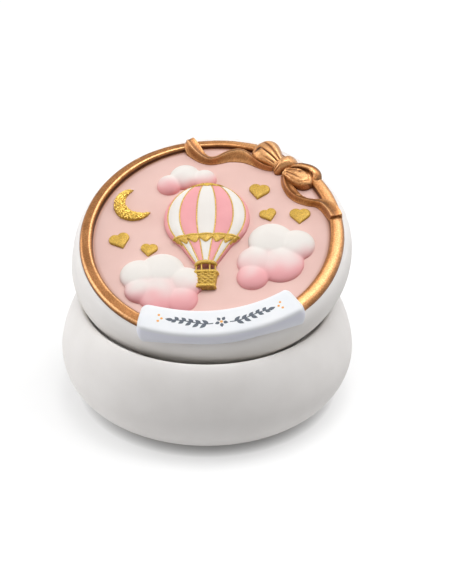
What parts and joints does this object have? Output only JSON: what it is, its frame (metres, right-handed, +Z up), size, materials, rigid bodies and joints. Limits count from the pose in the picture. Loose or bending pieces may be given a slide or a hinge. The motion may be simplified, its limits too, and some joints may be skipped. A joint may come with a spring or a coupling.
{
  "type": "baby tooth box",
  "caption": "Round two-piece keepsake box: a bulging bowl and a loose lid with a gilt frame, ribbon bow, blank banner and nursery relief, leaning on the rim.",
  "frame": {"origin": "middle of the flat foot under the bowl", "axes": "+Z up; the lid leans down towards -Y, where its banner is"},
  "size_m": [0.07, 0.07, 0.0534],
  "materials": {
    "resin": "matte off-white cast polyresin",
    "pink_paint": "matte pale pink paint",
    "rose_paint": "matte rose paint",
    "cloud_paint": "matte off-white paint",
    "white_paint": "satin white paint",
    "gilt": "copper-gold paint with dark recesses",
    "ochre_gold": "ochre gold paint"
  },
  "bodies": {
    "base": {"base_bowl": "resin"},
    "lid": {"lid_body": "resin", "medallion_panel": "pink_paint", "gilt_frame": "gilt", "banner": "white_paint", "bow_knot": "gilt", "bow_left_loop": "gilt", "bow_right_loop": "gilt", "ribbon_left_tail": "gilt", "ribbon_right_tail": "gilt", "balloon_envelope": "rose_paint", "balloon_basket": "ochre_gold", "crescent_moon": "ochre_gold", "gold_hearts": "ochre_gold", "left_cloud": "cloud_paint", "right_cloud": "cloud_paint", "top_cloud": "cloud_paint"}
  },
  "joints": [
    {"name": "lid_lift", "type": "slide", "parent": "base", "child": "lid", "axis": [0, 0, 1], "range_m": [0, 0.06]}
  ]
}
